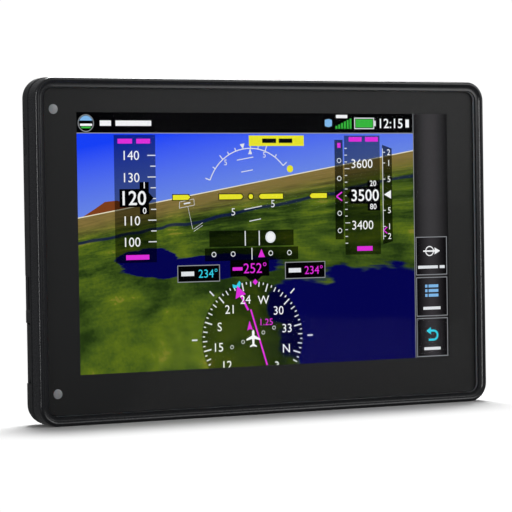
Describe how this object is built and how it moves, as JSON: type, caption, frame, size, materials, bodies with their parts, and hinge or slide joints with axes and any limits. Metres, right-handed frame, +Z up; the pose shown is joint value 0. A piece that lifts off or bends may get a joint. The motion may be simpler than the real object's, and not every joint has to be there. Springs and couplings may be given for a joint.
{
  "type": "portable aviation gps",
  "caption": "Landscape tablet-shaped cockpit navigator with a recessed glass front, side card slot and port door, and a hinged rear battery pack.",
  "frame": {"origin": "centre of the object's footprint, on the surface that it stands on", "axes": "+X to the right as seen from the front, +Y from the front glass towards the back, +Z up"},
  "size_m": [0.183, 0.0234, 0.121],
  "materials": {
    "black_housing": "fine moulded texture",
    "dark_plastic": "moulded",
    "cover_glass": "polished",
    "black_film": "printed",
    "grey_diffuser": "frosted",
    "display": "lit picture",
    "sensor_glass": "clear",
    "white_tray": "moulded",
    "seal_rubber": "matt",
    "flex_amber": "film",
    "cast_alloy": "die cast",
    "circuit_board": "solder resist",
    "tinned_steel": "pressed sheet",
    "ceramic_patch": "fired",
    "gold_plate": "plated",
    "brass_insert": "turned",
    "screw_steel": "black zinc",
    "stainless": "polished",
    "cell_foil": "foil"
  },
  "bodies": {
    "case": {"front_frame": "black_housing", "cover_glass": "cover_glass", "mask_film": "black_film", "glass_adhesive": "black_film", "light_pipe_upper": "grey_diffuser", "light_pipe_lower": "grey_diffuser", "touch_sensor": "sensor_glass", "lcd_panel": "display", "backlight": "white_tray", "display_flex": "flex_amber", "touch_flex": "flex_amber", "chassis": "cast_alloy", "main_board": "circuit_board", "shield_can_main": "tinned_steel", "shield_can_radio": "tinned_steel", "heat_spreader": "cast_alloy", "gnss_antenna": "ceramic_patch", "wireless_antenna": "dark_plastic", "backup_cell": "tinned_steel", "card_socket": "tinned_steel", "usb_receptacle": "tinned_steel", "antenna_jack": "gold_plate", "key_board": "circuit_board", "key_switch": "dark_plastic", "battery_contacts": "gold_plate", "pack_nut": "brass_insert", "rear_shell": "black_housing", "case_seal": "seal_rubber", "port_door_pin": "stainless", "mount_insert_1": "brass_insert", "mount_insert_2": "brass_insert", "mount_insert_3": "brass_insert", "mount_insert_4": "brass_insert", "case_screw_1": "screw_steel", "case_screw_2": "screw_steel", "case_screw_3": "screw_steel", "case_screw_4": "screw_steel", "case_screw_5": "screw_steel", "case_screw_6": "screw_steel", "board_screw_1": "screw_steel", "board_screw_2": "screw_steel", "board_screw_3": "screw_steel", "board_screw_4": "screw_steel"},
    "power_key": {"power_key": "dark_plastic"},
    "memory_card": {"memory_card": "dark_plastic"},
    "port_door": {"port_door": "dark_plastic", "port_door_seal": "seal_rubber"},
    "battery_pack": {"battery_cover": "black_housing", "battery_base": "dark_plastic", "battery_cell_1": "cell_foil", "battery_cell_2": "cell_foil"},
    "pack_screw": {"pack_screw": "stainless"},
    "d_ring": {"d_ring": "stainless"}
  },
  "joints": [
    {"name": "power_key_press", "type": "slide", "parent": "case", "child": "power_key", "axis": [1, 0, 0], "range_m": [0, 0.0006], "stiffness_N_per_m": 2000},
    {"name": "memory_card_slide", "type": "slide", "parent": "case", "child": "memory_card", "axis": [-1, 0, 0], "range_m": [-0.0007, 0.02]},
    {"name": "port_door_hinge", "type": "hinge", "parent": "case", "child": "port_door", "pos_m": [-0.0891, -0.00085, 0.0336], "axis": [0, 1, 0], "range_deg": [0, 90]},
    {"name": "battery_pack_hinge", "type": "hinge", "parent": "case", "child": "battery_pack", "pos_m": [-0.0527, 0.00925, 0.037], "axis": [0, 0, 1], "range_deg": [0, 30]},
    {"name": "pack_screw_turn", "type": "hinge", "parent": "battery_pack", "child": "pack_screw", "pos_m": [0.046, 0.01, 0.037], "axis": [0, 1, 0], "continuous": true},
    {"name": "d_ring_fold", "type": "hinge", "parent": "pack_screw", "child": "d_ring", "pos_m": [0.046, 0.01065, 0.037], "axis": [1, 0, 0], "range_deg": [0, 180]}
  ]
}
